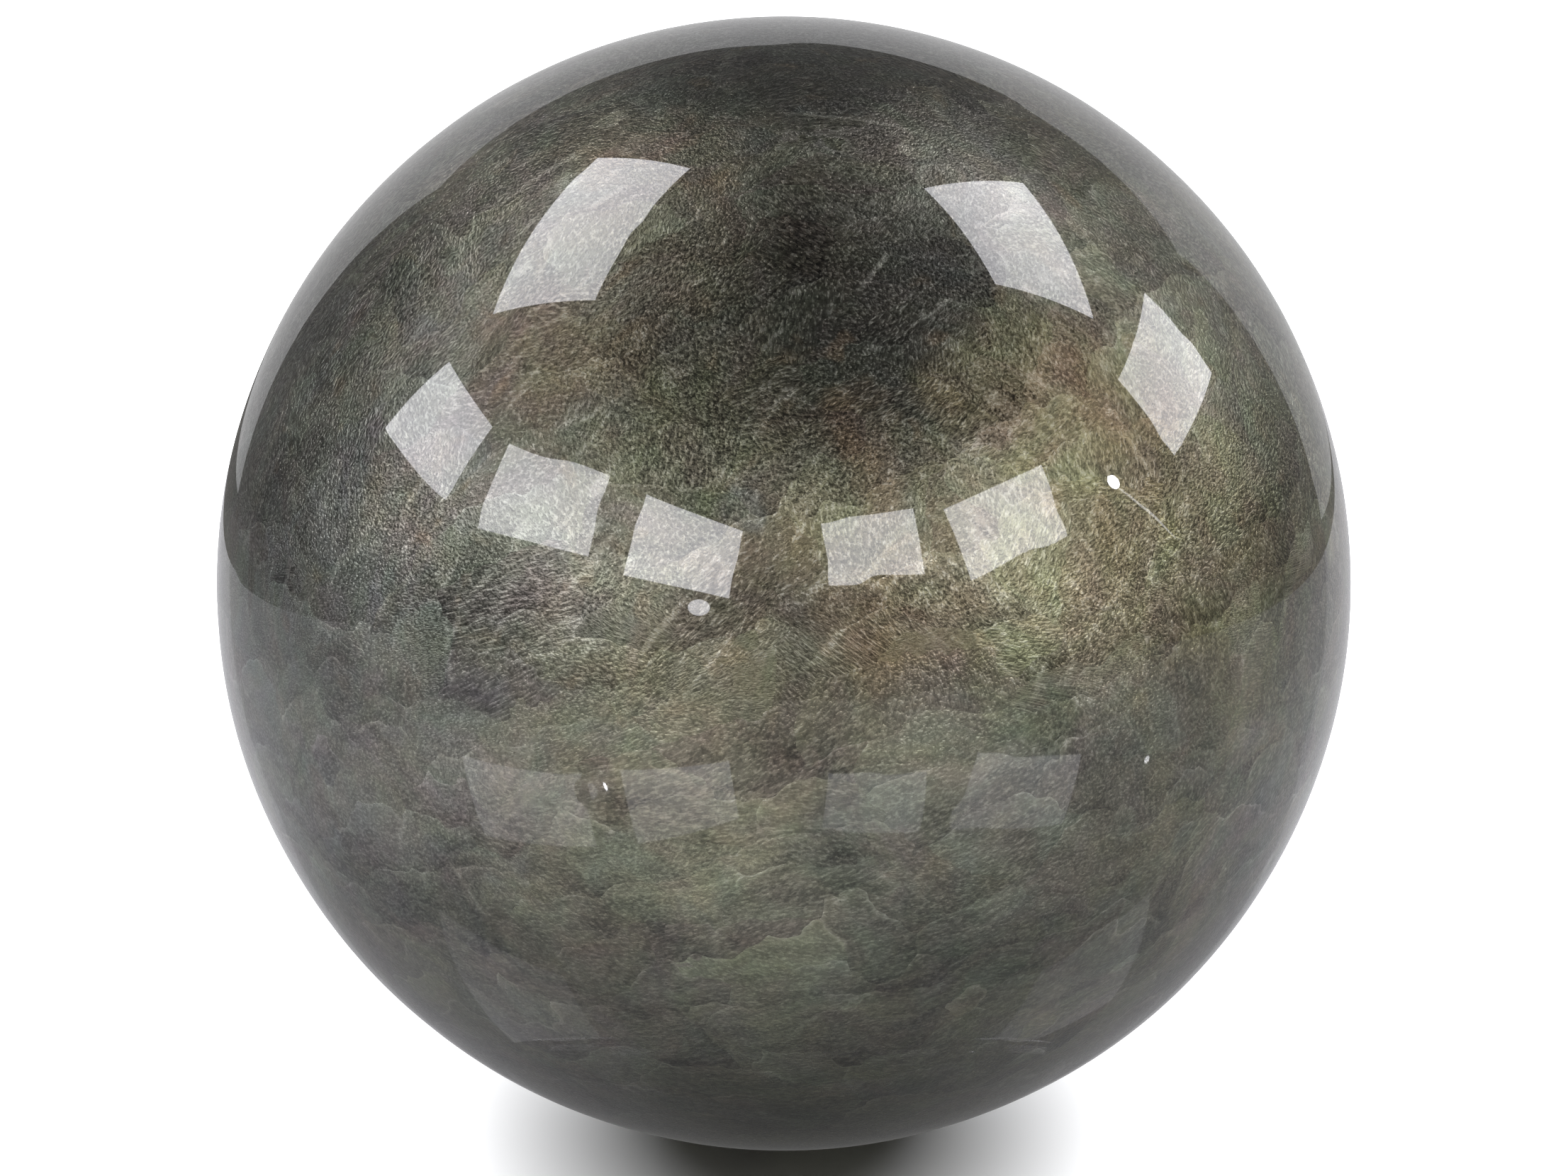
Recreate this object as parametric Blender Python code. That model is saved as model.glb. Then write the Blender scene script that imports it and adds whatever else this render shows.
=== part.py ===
"""A polished ball of natural stone, turned from one block and resting on its lowest point.

Metres, +Z up. The origin is the point where the ball touches the surface that it stands on,
so the ball's centre is one radius above it.
"""
import bpy

# Driving dimensions
BALL_DIAMETER = 0.092
BALL_RADIUS = BALL_DIAMETER / 2

# Each step splits every facet into four, starting from an icosahedron's twenty. Five steps in all
# give 5,120 even facets, which stay within 0.04 mm of the true sphere.
FACET_STEPS = 5

# Olive grey stone with a golden sheen under a glassy polish
STONE_COLOR = (0.105, 0.100, 0.072, 1.0)
STONE_ROUGHNESS = 0.10
STONE_METALLIC = 0.35


def clear_scene():
    """Removes whatever objects the file opened with."""
    for obj in list(bpy.data.objects):
        bpy.data.objects.remove(obj, do_unlink=True)


def make_collection(name):
    """A collection that holds the finished pieces."""
    collection = bpy.data.collections.new(name)
    bpy.context.scene.collection.children.link(collection)
    return collection


def move_to(obj, collection):
    """Takes the object out of every other collection and puts it in this one."""
    for other in list(obj.users_collection):
        other.objects.unlink(obj)
    collection.objects.link(obj)


def principled(name, color, roughness, metallic):
    """A plain Principled material."""
    material = bpy.data.materials.new(name)
    material.use_nodes = True
    shader = material.node_tree.nodes["Principled BSDF"]
    shader.inputs["Base Color"].default_value = color
    shader.inputs["Roughness"].default_value = roughness
    shader.inputs["Metallic"].default_value = metallic
    material.diffuse_color = color
    return material


def make_stone_ball(collection):
    """The whole object: one solid sphere with nothing fitted to it and nothing inside it."""
    bpy.ops.mesh.primitive_ico_sphere_add(
        subdivisions=FACET_STEPS,
        radius=BALL_RADIUS,
        location=(0.0, 0.0, BALL_RADIUS),
    )
    ball = bpy.context.active_object
    ball.name = "stone_ball"
    ball.data.name = "stone_ball"
    ball.data.shade_smooth()
    stone = principled("polished_stone", STONE_COLOR, STONE_ROUGHNESS, STONE_METALLIC)
    ball.data.materials.append(stone)
    move_to(ball, collection)
    return ball


def main():
    clear_scene()
    make_stone_ball(make_collection("polished_stone_ball"))


main()
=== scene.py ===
"""The polished stone ball's looks: its ground and polished surface, the stone's figure, and the studio.

Lengths are in metres and angles in degrees. A direction is given as (azimuth, elevation): azimuth 0
points from the ball's centre to the camera's side (-Y), positive azimuth turns to the right (+X),
and positive elevation points up.
"""
import math

import bmesh
import bpy
import numpy as np
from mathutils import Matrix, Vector


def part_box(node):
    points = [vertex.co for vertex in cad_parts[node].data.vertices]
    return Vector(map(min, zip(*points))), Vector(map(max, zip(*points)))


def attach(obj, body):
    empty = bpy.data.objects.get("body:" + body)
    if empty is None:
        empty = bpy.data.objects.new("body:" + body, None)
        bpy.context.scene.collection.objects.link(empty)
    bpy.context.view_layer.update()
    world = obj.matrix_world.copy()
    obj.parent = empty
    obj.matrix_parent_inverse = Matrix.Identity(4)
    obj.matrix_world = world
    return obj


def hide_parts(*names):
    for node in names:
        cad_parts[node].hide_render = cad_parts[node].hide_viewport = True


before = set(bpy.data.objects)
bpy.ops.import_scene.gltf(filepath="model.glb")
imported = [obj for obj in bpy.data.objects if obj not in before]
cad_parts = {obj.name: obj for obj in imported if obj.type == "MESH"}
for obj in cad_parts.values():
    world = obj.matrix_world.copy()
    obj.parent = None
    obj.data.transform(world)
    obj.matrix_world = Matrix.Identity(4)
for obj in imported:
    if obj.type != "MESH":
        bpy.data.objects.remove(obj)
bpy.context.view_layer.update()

NODE = "stone_ball"

low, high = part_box(NODE)
CENTRE = (low + high) / 2
RADIUS = (high.x - low.x) / 2


def direction(azimuth, elevation):
    """The unit vector that points that way from the ball's centre."""
    a = math.radians(azimuth)
    e = math.radians(elevation)
    return Vector((math.sin(a) * math.cos(e), -math.cos(a) * math.cos(e), math.sin(e)))


# ---------------------------------------------------------------------------------------------
# The ball's surface
# ---------------------------------------------------------------------------------------------

GRID = 128                 # quads along each edge of the cube that the sphere is blown up from
WAVES = 14                 # long, low waves that grinding between two cups leaves
WAVE_HEIGHT = 0.000006     # of each
WAVE_TURNS = (5.0, 17.0)   # radians of phase from the centre to the surface
SEED = 11

# Healed fractures that reach the surface: (azimuth, elevation) of the plane's normal, and how far
# the plane stands from the centre, in radii
FRACTURES = [
    ((35, 62), 0.62),
    ((-62, 40), 0.10),
    ((118, 18), -0.22),
    ((-20, -48), 0.35),
    ((70, -30), 0.42),
    ((165, 25), 0.30),
]
FRACTURE_DEPTH = 0.000010
FRACTURE_HALF_WIDTH = 0.020   # in radii

# Pin-prick pits where a grain pulled out in polishing: (azimuth, elevation)
PITS = [
    (-18, -3), (27, 60), (-51, 12), (64, -22), (-8, -34), (98, 47),
    (140, 5), (-120, 31), (-150, -18), (175, 52), (-95, -42), (118, -38),
]
PIT_DEPTH = 0.00005
PIT_HALF_WIDTH = 0.014        # in radii


def blown_up_cube():
    """A bmesh of even quads on the unit sphere, from a cube whose grid is spaced by equal angles."""
    mesh = bmesh.new()
    bmesh.ops.create_cube(mesh, size=2.0)
    bmesh.ops.subdivide_edges(mesh, edges=mesh.edges[:], cuts=GRID - 1, use_grid_fill=True)
    for vertex in mesh.verts:
        even = [math.tan(c * math.pi / 4) for c in vertex.co]
        vertex.co = Vector(even).normalized()
    return mesh


def relief(points):
    """How far each point of the unit sphere stands off the true ball, in metres; never outward."""
    rng = np.random.default_rng(SEED)
    height = np.zeros(len(points))
    for _ in range(WAVES):
        toward = rng.normal(size=3)
        toward /= np.linalg.norm(toward)
        turns = rng.uniform(*WAVE_TURNS)
        phase = rng.uniform(0, 2 * math.pi)
        height += WAVE_HEIGHT * np.cos(turns * points @ toward + phase)
    for normal, offset in FRACTURES:
        off_plane = points @ np.array(direction(*normal)) - offset
        height -= FRACTURE_DEPTH * np.exp(-(off_plane / FRACTURE_HALF_WIDTH) ** 2)
    for place in PITS:
        away = np.linalg.norm(points - np.array(direction(*place)), axis=1)
        height -= PIT_DEPTH * np.exp(-(away / PIT_HALF_WIDTH) ** 2)
    return height - height.max()


def make_ball():
    """The visible ball, in one piece, centred on its own origin."""
    mesh = bpy.data.meshes.new("polished_stone_ball")
    grid = blown_up_cube()
    grid.to_mesh(mesh)
    grid.free()
    points = np.zeros(len(mesh.vertices) * 3, np.float32)
    mesh.vertices.foreach_get("co", points)
    points = points.reshape(-1, 3).astype(float)
    points *= (RADIUS + relief(points))[:, None]
    mesh.vertices.foreach_set("co", points.astype(np.float32).ravel())
    mesh.update()
    mesh.shade_smooth()
    ball = bpy.data.objects.new("polished_stone_ball", mesh)
    bpy.context.scene.collection.objects.link(ball)
    ball.location = CENTRE
    return ball


# ---------------------------------------------------------------------------------------------
# The stone
# ---------------------------------------------------------------------------------------------

class Graph:
    """Short names for the shader nodes that the stone is made of. Every method returns a socket."""

    def __init__(self, material):
        material.use_nodes = True
        self.nodes = material.node_tree.nodes
        self.links = material.node_tree.links
        self.shader = self.nodes["Principled BSDF"]

    def node(self, kind, **settings):
        made = self.nodes.new(kind)
        for name, value in settings.items():
            setattr(made, name, value)
        return made

    def plug(self, value, socket):
        """Links a socket, or sets a plain number, vector or colour."""
        if isinstance(value, bpy.types.NodeSocket):
            self.links.new(value, socket)
        else:
            socket.default_value = value

    def math(self, operation, *values):
        made = self.node("ShaderNodeMath", operation=operation)
        for value, socket in zip(values, made.inputs):
            self.plug(value, socket)
        return made.outputs[0]

    def vector(self, operation, *values):
        made = self.node("ShaderNodeVectorMath", operation=operation)
        for value, socket in zip(values, made.inputs):
            self.plug(value, socket)
        return made.outputs["Value" if operation == "DOT_PRODUCT" else "Vector"]

    def scaled(self, vector, amount):
        made = self.node("ShaderNodeVectorMath", operation="SCALE")
        self.plug(vector, made.inputs[0])
        self.plug(amount, made.inputs["Scale"])
        return made.outputs[0]

    def stretched(self, point, along, length):
        """The point squeezed along a direction, so that a texture read there runs in streaks."""
        along = self.vector("NORMALIZE", along)
        reach = self.vector("DOT_PRODUCT", point, along)
        squeeze = self.math("MULTIPLY", reach, 1.0 / length - 1.0)
        return self.vector("ADD", point, self.scaled(along, squeeze))

    def cells(self, point, scale, feature="F1"):
        made = self.node("ShaderNodeTexVoronoi", feature=feature)
        self.plug(point, made.inputs["Vector"])
        made.inputs["Scale"].default_value = scale
        return made.outputs

    def noise(self, point, scale, detail=2.0, roughness=0.5):
        made = self.node("ShaderNodeTexNoise")
        self.plug(point, made.inputs["Vector"])
        made.inputs["Scale"].default_value = scale
        made.inputs["Detail"].default_value = detail
        made.inputs["Roughness"].default_value = roughness
        return made.outputs["Fac"]

    def wander(self, point, scale, detail):
        """A vector that drifts at random from place to place, each part within 0.5 of nought."""
        made = self.node("ShaderNodeTexNoise")
        self.plug(point, made.inputs["Vector"])
        made.inputs["Scale"].default_value = scale
        made.inputs["Detail"].default_value = detail
        return self.vector("SUBTRACT", made.outputs["Color"], (0.5, 0.5, 0.5))

    def step(self, value, start, end, low=0.0, high=1.0):
        """A smooth step from low, where value is at start, to high, where it is at end."""
        made = self.node("ShaderNodeMapRange", interpolation_type="SMOOTHSTEP")
        for given, name in ((value, "Value"), (start, "From Min"), (end, "From Max"),
                            (low, "To Min"), (high, "To Max")):
            self.plug(given, made.inputs[name])
        return made.outputs[0]

    def mix(self, amount, first, second):
        made = self.node("ShaderNodeMix", data_type="RGBA")
        self.plug(amount, made.inputs[0])
        self.plug(first, made.inputs[6])
        self.plug(second, made.inputs[7])
        return made.outputs[2]

    def cap(self, point, place, inner, outer):
        """1 within inner degrees of a direction on the ball, easing to 0 at outer degrees."""
        toward = self.vector("DOT_PRODUCT", point, direction(*place))
        return self.step(toward, math.cos(math.radians(outer)), math.cos(math.radians(inner)))


OLIVE = (1.05, 1.00, 0.68, 1)      # hues, which the stone's paleness multiplies
SLATE = (0.98, 1.00, 0.92, 1)
MOSS = (0.93, 1.00, 0.72, 1)
GOLD = (1.95, 1.68, 0.92, 1)
# pale haze, partly paler stone and partly painted sheen
HAZE_AND_PAINTED_SHEEN = (1.90, 1.88, 1.50, 1)
BROWN = (0.76, 0.64, 0.41, 1)
# a darker hue, partly darker stone and partly painted shade
SHADE = (0.50, 0.50, 0.41, 1)
# painted shade, laid where nothing bright is reflected
PAINTED_SHADE = (0.36, 0.36, 0.31, 1)
FERN = (0.82, 1.00, 0.50, 1)
TEAL = (0.84, 1.00, 0.96, 1)
RUST = (1.32, 0.96, 0.56, 1)
NEEDLE = (1.00, 1.00, 0.88, 1)

# Soft patches of another hue: where, the radius in degrees that it fades over, hue, how much. Many
# of the places at the front were picked on the photograph, turned into directions by a scratch
# program and rounded; the last three, at the back, are made up.
PATCHES = [
    ((-60, 12), 48, SLATE, 0.9),
    ((-50, -35), 45, SLATE, 0.5),
    ((75, -25), 40, SLATE, 0.7),
    ((0, 85), 40, SLATE, 0.6),
    ((12, -30), 35, MOSS, 0.7),
    # The haze patches are partly paler stone and partly painted sheen, most of them on the glow round
    # the panels' reflections.
    ((-51, 50), 24, HAZE_AND_PAINTED_SHEEN, 0.6),
    ((-60, 30), 14, HAZE_AND_PAINTED_SHEEN, 0.35),
    ((-18, 19), 10, HAZE_AND_PAINTED_SHEEN, 0.3),
    ((29, 53), 17, HAZE_AND_PAINTED_SHEEN, 0.95),
    ((61, 38), 23, HAZE_AND_PAINTED_SHEEN, 0.55),
    ((68, 12), 15, HAZE_AND_PAINTED_SHEEN, 0.2),
    # The shade patches darken the stone: partly darker stone, partly painted shade.
    ((24, -9), 30, SHADE, 0.65),
    ((-27, 9), 12, SHADE, 0.35),
    ((-24, -16), 17, SHADE, 0.5),
    ((-22, 36), 14, SHADE, 0.5),
    # The next two are painted shade: a dark patch among the panels' glow, where nothing bright
    # reflects, and a dark cap on the top, where only the dim room reflects.
    ((12, 42), 20, PAINTED_SHADE, 0.95),
    ((0, 84), 19, PAINTED_SHADE, 0.9),
    ((2, 12), 15, BROWN, 0.8),
    ((0, 10), 11, SHADE, 0.5),
    ((36, 23), 24, GOLD, 0.36),
    ((26, 33), 12, GOLD, 0.35),
    ((-41, 19), 7, GOLD, 0.15),
    ((37, 29), 8, RUST, 0.45),
    ((10, 12), 8, RUST, 0.3),
    ((3, 5), 5, RUST, 0.8),
    ((-26, 38), 9, RUST, 0.3),
    ((-24, 57), 10, RUST, 0.35),
    ((7, 29), 7, RUST, 0.35),
    ((1, 32), 6, RUST, 0.35),
    ((-11, 29), 7, FERN, 0.5),
    ((22, 5), 8, FERN, 0.3),
    ((-1, 26), 5, TEAL, 0.3),
    ((-1, 7), 3, TEAL, 0.5),
    ((-150, 5), 50, SLATE, 0.8),
    ((155, 20), 35, GOLD, 0.35),
    ((-110, 35), 25, SHADE, 0.6),
]

# Hairline veins, each along the great circle from one direction on the ball to another; then how
# pale it is. Those at the front were picked on the photograph, turned into directions by a scratch
# program and rounded; the last two, at the back, are made up.
VEINS = [
    ((-8, 67), (37, 60), 1.3),
    ((-10, 39), (-7, 44), 2.4),
    ((-4, 37), (2, 42), 2.4),
    ((9, 43), (15, 49), 1.4),
    ((14, 39), (23, 44), 1.2),
    ((-11, 52), (-5, 56), 2.0),
    ((-24, 29), (-16, 35), 1.4),
    ((-29, 6), (-22, 10), 0.6),
    ((-16, -14), (3, -9), 0.35),
    ((-54, 16), (-48, 16), 1.0),
    ((-35, -11), (-29, -20), 0.5),
    ((20, -2), (36, 3), 0.5),
    ((120, 30), (150, 12), 0.8),
    ((-160, 40), (-125, 22), 0.8),
]
VEIN_WIDTH = 0.007      # in radii

# How finely each texture is drawn, in cycles per radius
SWIRL_SCALE = 4.0
CLOUD_SCALE = 5.0
PATCH_SCALE = 8.0
FLAKE_SCALE = 11.0
MOTTLE_SCALE = 13.0
SPOT_SCALE = 15.0
STRATA_SCALE = 45.0
SCRATCH_SCALE = 46.0
HATCH_SCALE = 70.0
GRAIN_SCALE = 190.0
NEEDLE_SCALE = 210.0

BEND = 0.26             # radii per unit of the swirls, which shift the flakes and broad patches
SLIGHT_BEND = 0.06      # the same, for the veins, the scratches and the small patches
SMALL_PATCH = 25        # degrees; a patch that reaches less far is a small one
PAINTED_FLAKE_SHADING = 2.4       # how much paler a flake grows across, toward its upper edge, per radius: painted shading
FLAKE_CHANCE = 0.26     # how much one flake is paler than the next
LEAST_PALE = 0.15       # of the paleness, which the darkest specks keep

# How many times longer than wide a flake, a needle and a streak are drawn
FLAKE_STRETCH = 2.1
NEEDLE_STRETCH = 2.8
STREAK_STRETCH = 8.0
# Which way each of them runs
FLAKE_RUN = (1.0, 0.0, 0.3)
STRATA_RUN = (1.0, 0.0, 0.25)
SCRATCH_RUN = (0.62, 0.1, 0.78)
HATCH_RUN = (-0.72, 0.1, 0.68)
UPPER_LIE = (0.40, 0.0, 0.44, 1)    # of the needles, which rise to the right in the upper half
LOWER_LIE = (1.8, 0.0, 0.35, 1)     # and are nearly level in the lower half
LIE_CHANCE = 1.5                    # how strongly the lie changes from flake to flake
FLAKE_RISE = (-0.3, 0.0, 1.0)       # across a flake, from its lower edge to its upper one

COAT_ROUGHNESS = 0.012
COAT_IOR = 1.5
SPECULAR_TINT = (0.7, 0.7, 0.7, 1)
BUMP_STRENGTH = 0.6
BUMP_DISTANCE = 0.0001


def needle_shine(g, point, chance, grain, up, low_half):
    """Fine needles that lie a different way in each flake, and the grain between them."""
    lie = g.vector("ADD", g.scaled(chance, LIE_CHANCE), g.mix(low_half, UPPER_LIE, LOWER_LIE))
    needles = g.noise(g.stretched(point, lie, NEEDLE_STRETCH), NEEDLE_SCALE, 2.0, 0.6)
    shine = g.math("ADD", g.step(needles, 0.42, 0.72, -0.30, 1.00),
                   g.step(grain, 0.30, 0.70, -0.18, 0.18))
    return g.math("MULTIPLY", shine, g.math("MULTIPLY", g.step(up, 0.36, 0.05, 1.0, 0.60),
                                            g.step(up, 0.0, -0.5, 1.0, 0.75)))


def add_seams_and_painted_edges(g, shine, sheets, across, patches):
    """Brightens the upper edges of the flakes, where two sheets meet: partly pale seams, partly a
    painted highlight on each sheet's upper edge.
    """
    edge = g.cells(sheets, FLAKE_SCALE, "DISTANCE_TO_EDGE")["Distance"]
    seam_and_painted_edge = g.math("MULTIPLY", g.step(edge, 0.08, 0.0), g.step(patches, 0.46, 0.58, 0.0, 0.60))
    return g.math("ADD", shine, g.math("MULTIPLY", seam_and_painted_edge, g.step(across, 0.01, 0.035)))


def add_scratches(g, shine, eased, up):
    """Scratches over the upper half, and a finer hatching across them in the gold patch."""
    scratch = g.noise(g.stretched(eased, SCRATCH_RUN, STREAK_STRETCH), SCRATCH_SCALE, 1.0, 0.5)
    scratch = g.math("MULTIPLY", g.step(scratch, 0.58, 0.72, 0.0, 0.60), g.step(up, -0.05, 0.25))
    hatch = g.noise(g.stretched(eased, HATCH_RUN, STREAK_STRETCH), HATCH_SCALE, 1.0, 0.5)
    hatch = g.math("MULTIPLY", g.step(hatch, 0.52, 0.66, 0.0, 0.50), g.cap(eased, (31, 20), 6, 27))
    return g.math("ADD", g.math("ADD", shine, scratch), hatch)


def add_veins(g, shine, point, eased, patches):
    """Draws the veins, each palest at its middle and patchy along its run."""
    patchy = g.step(patches, 0.30, 0.50, 0.4, 1.0)
    for start, end, paler in VEINS:
        start = direction(*start)
        end = direction(*end)
        side = start.cross(end).normalized()
        middle = (start + end).normalized()
        along = g.step(g.vector("DOT_PRODUCT", point, middle), start.dot(middle), 1.0, 0.0, paler)
        off = g.math("ABSOLUTE", g.vector("DOT_PRODUCT", eased, side))
        line = g.math("MULTIPLY", g.step(off, VEIN_WIDTH, 0.0), along)
        shine = g.math("ADD", shine, g.math("MULTIPLY", line, patchy))
    return shine


def paleness(g, shine, bent, across, chance, up, low_half):
    """How pale the stone is. A painted light falloff makes it palest a little below its middle height
    and darkest at the top.
    """
    # Painted light and shade: palest a little below the middle height, darker toward the bottom,
    # darkest at the top.
    painted_falloff = g.math("MULTIPLY", g.step(up, 0.66, -0.12, 0.066, 0.190),
                   g.step(up, -0.16, -0.74, 1.0, 0.43))
    clouds = g.noise(bent, CLOUD_SCALE, 5.0, 0.6)
    ripple = g.math("ADD", shine, g.step(clouds, 0.28, 0.72, -0.26, 0.26))
    split = g.node("ShaderNodeSeparateXYZ")
    g.plug(chance, split.inputs[0])
    # Painted shading: each flake is drawn paler toward its upper edge and darker toward its lower one.
    flake_shading = g.math("MULTIPLY", across, PAINTED_FLAKE_SHADING)
    sheet = g.math("ADD", g.math("MULTIPLY", split.outputs[1], FLAKE_CHANCE), flake_shading)
    strata = g.noise(g.stretched(bent, STRATA_RUN, STREAK_STRETCH), STRATA_SCALE, 3.0, 0.6)
    strata = g.math("MULTIPLY", g.step(strata, 0.3, 0.7, -0.20, 0.20), low_half)
    ripple = g.math("ADD", g.math("ADD", ripple, sheet), strata)
    return g.math("MULTIPLY", painted_falloff, g.math("MAXIMUM", g.math("ADD", ripple, 1.0), LEAST_PALE))


def stone_hue(g, shine, bent, eased, chance, up):
    """Olive, changed by the patches, among them painted shade and painted sheen, a slow blush, rusty
    spots and the needles' own hue.
    """
    hue = OLIVE
    for where, reach, patch_hue, amount in PATCHES:
        held = eased if reach < SMALL_PATCH else bent
        patch = g.math("MULTIPLY", g.cap(held, where, 0.0, reach), amount)
        hue = g.mix(patch, hue, patch_hue)
    mottle = g.wander(bent, MOTTLE_SCALE, 2.0)
    blush = g.vector("ADD", g.scaled(mottle, 0.28), g.scaled(chance, 0.06))
    hue = g.vector("MULTIPLY", hue, g.vector("ADD", blush, (1, 1, 1)))
    spots = g.noise(bent, SPOT_SCALE, 1.0, 0.5)
    spots = g.math("MULTIPLY", g.step(spots, 0.62, 0.76, 0.0, 0.35), g.step(up, -0.2, 0.4))
    hue = g.mix(spots, hue, RUST)
    return g.mix(g.step(shine, 0.2, 1.3, 0.0, 0.45), hue, NEEDLE)


def polish(g, shine, grain):
    """The metallic sheen under a clear coat, thinnest where the stone is dark, and its relief."""
    g.plug(g.step(grain, 0.3, 0.7, 0.34, 0.46), g.shader.inputs["Roughness"])
    g.plug(1.0, g.shader.inputs["Metallic"])
    g.plug(SPECULAR_TINT, g.shader.inputs["Specular Tint"])
    bump = g.node("ShaderNodeBump")
    g.plug(BUMP_STRENGTH, bump.inputs["Strength"])
    g.plug(BUMP_DISTANCE, bump.inputs["Distance"])
    g.plug(g.math("ADD", grain, g.math("MULTIPLY", shine, 0.3)), bump.inputs["Height"])
    g.plug(bump.outputs[0], g.shader.inputs["Normal"])
    g.plug(g.step(shine, -0.8, 0.9, 0.80, 1.0), g.shader.inputs["Coat Weight"])
    g.plug(COAT_ROUGHNESS, g.shader.inputs["Coat Roughness"])
    g.plug(COAT_IOR, g.shader.inputs["Coat IOR"])


def make_stone():
    """Dark volcanic stone, full of fine needles that lie in wavy sheets and shine gold and grey."""
    material = bpy.data.materials.new("polished_stone")
    g = Graph(material)
    place = g.node("ShaderNodeTexCoord").outputs["Object"]
    point = g.vector("MULTIPLY", place, (1 / RADIUS,) * 3)
    up = g.vector("DOT_PRODUCT", point, direction(0, 90))
    low_half = g.step(up, 0.26, -0.12)
    sway = g.wander(point, SWIRL_SCALE, 4.0)
    bent = g.vector("ADD", point, g.scaled(sway, BEND))
    eased = g.vector("ADD", point, g.scaled(sway, SLIGHT_BEND))
    sheets = g.stretched(bent, FLAKE_RUN, FLAKE_STRETCH)
    flakes = g.cells(sheets, FLAKE_SCALE)
    chance = g.vector("SUBTRACT", flakes["Color"], (0.5, 0.5, 0.5))
    across = g.vector("DOT_PRODUCT", g.vector("SUBTRACT", sheets, flakes["Position"]), FLAKE_RISE)
    grain = g.noise(point, GRAIN_SCALE, 1.0, 0.6)
    patches = g.noise(bent, PATCH_SCALE, 2.0, 0.6)

    shine = needle_shine(g, point, chance, grain, up, low_half)
    shine = add_seams_and_painted_edges(g, shine, sheets, across, patches)
    shine = add_scratches(g, shine, eased, up)
    shine = add_veins(g, shine, point, eased, patches)
    pale = paleness(g, shine, bent, across, chance, up, low_half)
    hue = stone_hue(g, shine, bent, eased, chance, up)
    g.plug(g.scaled(hue, pale), g.shader.inputs["Base Color"])
    polish(g, shine, grain)
    return material


# ---------------------------------------------------------------------------------------------
# The studio
# ---------------------------------------------------------------------------------------------

CAMERA_ELEVATION = 17.0
CAMERA_LENS = 100.0           # mm
SENSOR_WIDTH = 36.0           # mm
CAMERA_REACH = 7.733          # radii from the ball's centre
CAMERA_DROP = 0.0087          # radii that the camera aims below the ball's centre

# Light panels hung round the table: (azimuth, elevation), then in degrees the width, the height, the
# roll, and how far the panel is turned and leaned away from facing the ball; then its brightness.
# All but the brightness came from a scratch solver, fitted to the corners of the reflections in the
# photograph, and were rounded. This is a fault.
PANELS = [
    ((-114, 59), 32, 19, -17, 20, 3, 0.97),
    ((110, 54), 24, 20, 22, 9, 29, 0.95),
    ((104, 26), 23, 14, -2, -9, 9, 0.86),
    ((-85, 27), 21, 17, -5, 7, 33, 0.98),
    ((-53, 26), 23, 16, 3, 2, 26, 0.97),
    ((-19, 22), 24, 14, -12, -31, 13, 1.14),
    ((18, 23), 18, 13, 3, 10, 18, 0.94),
    ((48.3, 22.7), 23, 13.5, 6, -18, -6, 0.97),
]
PANEL_DISTANCE = 1.5
PANEL_RADIANCE = 8.6
PANEL_COLOR = (0.96, 0.955, 1.0)
# Tall panels at the sides that light matt surfaces and aren't reflected: where, width, height, radiance
WASHES = [((-105, 45), 26, 46, 22.8), ((105, 45), 26, 46, 22.8)]
# How bright each of the first panels is when mirrored in the plate, against its full brightness
MIRRORED = [0.3, 0.3, 0.0, 0.0]
# Small lamps: (azimuth, elevation), width, height, roll, radiance, and the one thing they shine in.
# Their directions were worked out from the places of the bright dots in the photograph.
LAMPS = [
    ((74.0, 21.4), 2.2, 3.2, 35, 40.0, "polished_stone_ball"),
    ((79.3, 14.3), 0.45, 15.0, 38, 4.6, "polished_stone_ball"),
    ((-15.8, 11.5), 4.2, 3.0, 0, 9.0, "polished_stone_ball"),
    ((76.0, 19.8), 1.2, 1.2, 0, 40.0, "gloss_plate"),
    ((-36.0, 20.5), 1.2, 1.2, 0, 110.0, "gloss_plate"),
]

FLOOR_SIZE = 1.7              # as far as the lights keep it white
PAPER_COLOR = (0.84, 0.85, 0.83, 1)
PAPER_ROUGHNESS = 0.3
# Corners of the glossy plate that the ball is seen to reflect, in plan from the ball's centre. They
# and the card's edges below were worked out from the places of their reflections in the photograph.
PLATE = [(0.11, 0.33), (0.68, -0.23), (-0.05, -0.65), (-0.62, -0.09)]
PLATE_DROP = 0.0002           # below the floor's white face
PLATE_COLOR = (0.12, 0.12, 0.123, 1)
PLATE_ROUGHNESS = 0.03
PLATE_GLOW = 0.13
PLATE_IOR = 2.0
CARD_DISTANCE = 0.9
CARD_LEFT, CARD_RIGHT = -0.64, 0.88
CARD_FOOT, CARD_TOP = -0.12, 0.53
CARD_COLOR = (0.1, 0.1, 0.1, 1)
CARD_ROUGHNESS = 0.8
CARD_GLOW = 0.5
SKY_HEIGHT = 1.6
SKY_SIZE = 2.4
SKY_RADIANCE = 2.2
ROOM = (0.13, 0.127, 0.12, 1)
BACKDROP = (1.2, 1.2, 1.2, 1)


def add_light(name, location, width, height, radiance):
    """A rectangular area light that faces the ball."""
    light = bpy.data.lights.new(name, "AREA")
    light.shape = "RECTANGLE"
    light.size = width
    light.size_y = height
    light.color = PANEL_COLOR
    light.energy = radiance * math.pi * width * height
    made = bpy.data.objects.new(name, light)
    bpy.context.scene.collection.objects.link(made)
    made.location = location
    made.rotation_euler = (CENTRE - location).to_track_quat("-Z", "Y").to_euler()
    made.visible_camera = False
    return made


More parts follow.
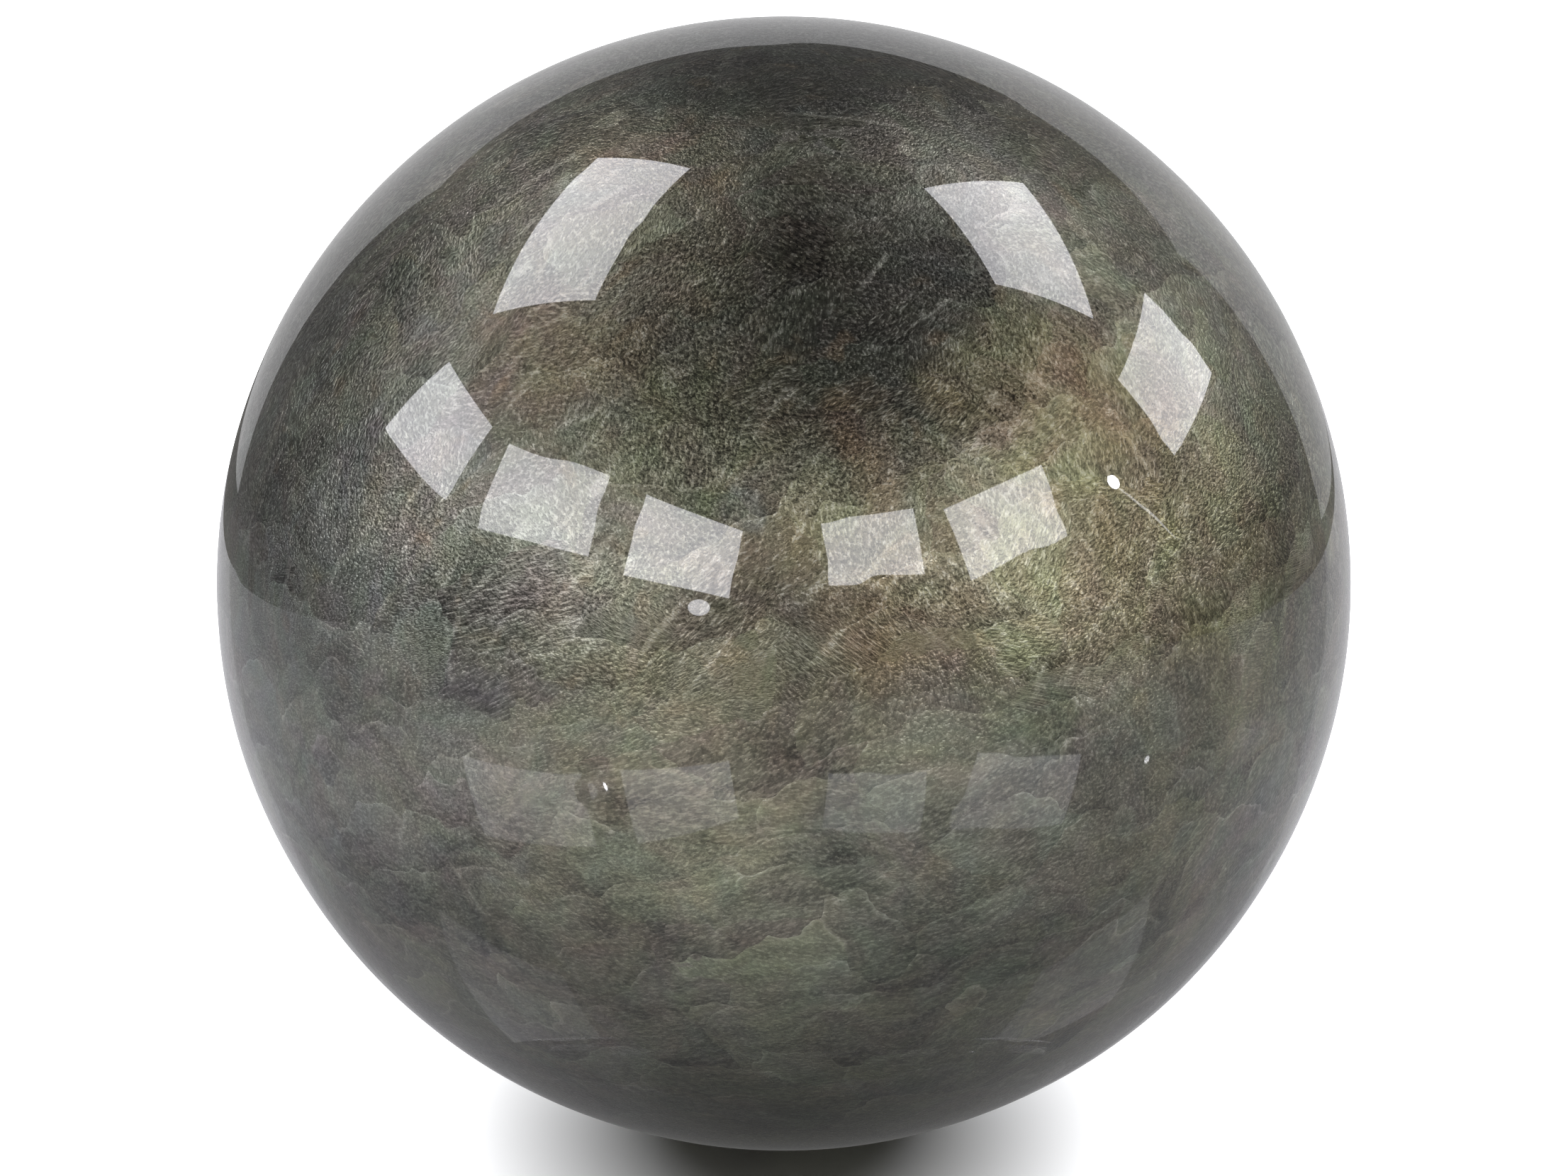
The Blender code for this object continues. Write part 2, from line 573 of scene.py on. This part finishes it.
def add_panel(name, place, width, height, radiance, roll=0.0, turn=0.0, lean=0.0):
    """A light panel sized by the angles that it fills, which only glossy surfaces see."""
    across = 2 * PANEL_DISTANCE * math.tan(math.radians(width / 2))
    tall = 2 * PANEL_DISTANCE * math.tan(math.radians(height / 2))
    spot = CENTRE + PANEL_DISTANCE * direction(*place)
    panel = add_light(name, spot, across, tall, radiance)
    panel.visible_diffuse = False
    panel.rotation_euler.rotate_axis("Z", math.radians(roll))
    panel.rotation_euler.rotate_axis("Y", math.radians(turn))
    panel.rotation_euler.rotate_axis("X", math.radians(lean))
    return panel


def lights_only(light, name):
    """Keeps a light off everything but the named object."""
    group = bpy.data.collections.new(light.name + "_receivers")
    group.objects.link(bpy.data.objects[name])
    light.light_linking.receiver_collection = group


def plain(name, color, roughness, glow=0.0, ior=1.5):
    """A material of one colour, which may glow white."""
    material = bpy.data.materials.new(name)
    material.use_nodes = True
    shader = material.node_tree.nodes["Principled BSDF"]
    shader.inputs["Base Color"].default_value = color
    shader.inputs["Roughness"].default_value = roughness
    shader.inputs["IOR"].default_value = ior
    shader.inputs["Emission Color"].default_value = (1, 1, 1, 1)
    shader.inputs["Emission Strength"].default_value = glow
    return material


def flat(name, corners, height, material):
    """A level sheet, drawn in plan round the ball's centre."""
    mesh = bpy.data.meshes.new(name)
    mesh.from_pydata([(CENTRE.x + x, CENTRE.y + y, height) for x, y in corners], [],
                     [range(len(corners))])
    mesh.materials.append(material)
    made = bpy.data.objects.new(name, mesh)
    bpy.context.scene.collection.objects.link(made)
    return made


def make_stage():
    """A white floor for the camera, a plate and a card for the ball to reflect, and a sky."""
    half = FLOOR_SIZE / 2
    floor = flat("white_floor", [(-half, -half), (half, -half), (half, half), (-half, half)], low.z,
                 plain("white_paper", PAPER_COLOR, PAPER_ROUGHNESS))
    floor.visible_glossy = False
    floor.visible_diffuse = False
    floor.visible_shadow = False
    plate = flat("gloss_plate", PLATE[::-1], low.z - PLATE_DROP,
                 plain("grey_gloss", PLATE_COLOR, PLATE_ROUGHNESS, PLATE_GLOW, PLATE_IOR))
    plate.visible_camera = False
    bpy.ops.mesh.primitive_plane_add(size=1, location=(
        (CARD_LEFT + CARD_RIGHT) / 2, CARD_DISTANCE, (CARD_FOOT + CARD_TOP) / 2))
    card = bpy.context.active_object
    card.name = "back_card"
    card.scale = (CARD_RIGHT - CARD_LEFT, CARD_TOP - CARD_FOOT, 1)
    card.rotation_euler = (math.radians(90), 0, 0)
    card.data.materials.append(plain("glowing_card", CARD_COLOR, CARD_ROUGHNESS, CARD_GLOW))
    card.visible_camera = False
    sky = add_light("sky", Vector((0, 0, SKY_HEIGHT)), SKY_SIZE, SKY_SIZE, SKY_RADIANCE)
    sky.visible_glossy = False


def make_world():
    """A dim room, which the camera itself sees as plain white."""
    world = bpy.data.worlds.new("room")
    bpy.context.scene.world = world
    world.use_nodes = True
    nodes = world.node_tree.nodes
    links = world.node_tree.links
    room = nodes["Background"]
    room.inputs["Color"].default_value = ROOM
    white = nodes.new("ShaderNodeBackground")
    white.inputs["Color"].default_value = BACKDROP
    ray = nodes.new("ShaderNodeLightPath")
    choose = nodes.new("ShaderNodeMixShader")
    links.new(ray.outputs["Is Camera Ray"], choose.inputs[0])
    links.new(room.outputs[0], choose.inputs[1])
    links.new(white.outputs[0], choose.inputs[2])
    links.new(choose.outputs[0], nodes["World Output"].inputs["Surface"])


def make_camera():
    """The photograph's view: a long lens, a little above the ball."""
    data = bpy.data.cameras.new("camera")
    data.lens = CAMERA_LENS
    data.sensor_width = SENSOR_WIDTH
    data.clip_start = 0.01
    data.clip_end = 20.0
    camera = bpy.data.objects.new("camera", data)
    bpy.context.scene.collection.objects.link(camera)
    camera.location = CENTRE + CAMERA_REACH * RADIUS * direction(0, CAMERA_ELEVATION)
    aim = CENTRE - Vector((0, 0, CAMERA_DROP * RADIUS))
    camera.rotation_euler = (aim - camera.location).to_track_quat("-Z", "Y").to_euler()
    bpy.context.scene.camera = camera


def make_lights(ball):
    """The panels with the fainter copies that the plate mirrors, the washes and the lamps."""
    for number, (place, width, height, *turns, bright) in enumerate(PANELS):
        bright *= PANEL_RADIANCE
        panel = add_panel(f"panel_{number + 1}", place, width, height, bright, *turns)
        if number < len(MIRRORED):
            lights_only(panel, ball.name)
            if MIRRORED[number]:
                ghost = add_panel(f"ghost_{number + 1}", place, width, height,
                                  MIRRORED[number] * bright, *turns)
                lights_only(ghost, "gloss_plate")
    for number, (place, width, height, radiance) in enumerate(WASHES):
        wash = add_panel(f"wash_{number + 1}", place, width, height, radiance)
        wash.visible_diffuse = True
        wash.visible_glossy = False
    for number, (place, width, height, roll, radiance, target) in enumerate(LAMPS):
        lamp = add_panel(f"lamp_{number + 1}", place, width, height, radiance, roll)
        lamp.data.shape = "ELLIPSE"
        lights_only(lamp, target)


ball = make_ball()
ball.data.materials.append(make_stone())
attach(ball, "root")
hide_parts(NODE)

make_stage()
make_world()
make_camera()
make_lights(ball)
bpy.context.scene.view_settings.view_transform = "Standard"
